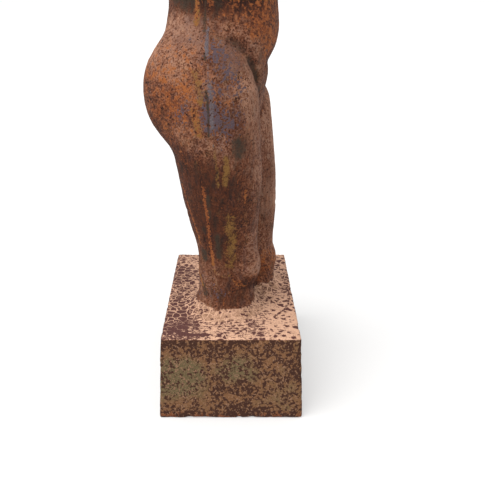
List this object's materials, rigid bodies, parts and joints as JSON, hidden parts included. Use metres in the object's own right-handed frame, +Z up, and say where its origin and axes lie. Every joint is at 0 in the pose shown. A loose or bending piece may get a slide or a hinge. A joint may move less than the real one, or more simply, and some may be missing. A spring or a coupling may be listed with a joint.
{
  "type": "garden statue",
  "caption": "Rusted cast iron garden statue: a standing nude torso cut off at the neck, upper arms and below the knees, cast in one with a plain rectangular block.",
  "frame": {"origin": "centre of the block's underside", "axes": "+Z up; -Y is the way the figure faces; +X is towards the figure's left side"},
  "size_m": [0.4256, 0.2936, 1.0734],
  "materials": {
    "rusted_cast_iron": "matte, bare iron rusted all over, rough from the sand mould"
  },
  "bodies": {
    "root": {"torso_on_block": "rusted_cast_iron"}
  },
  "joints": []
}
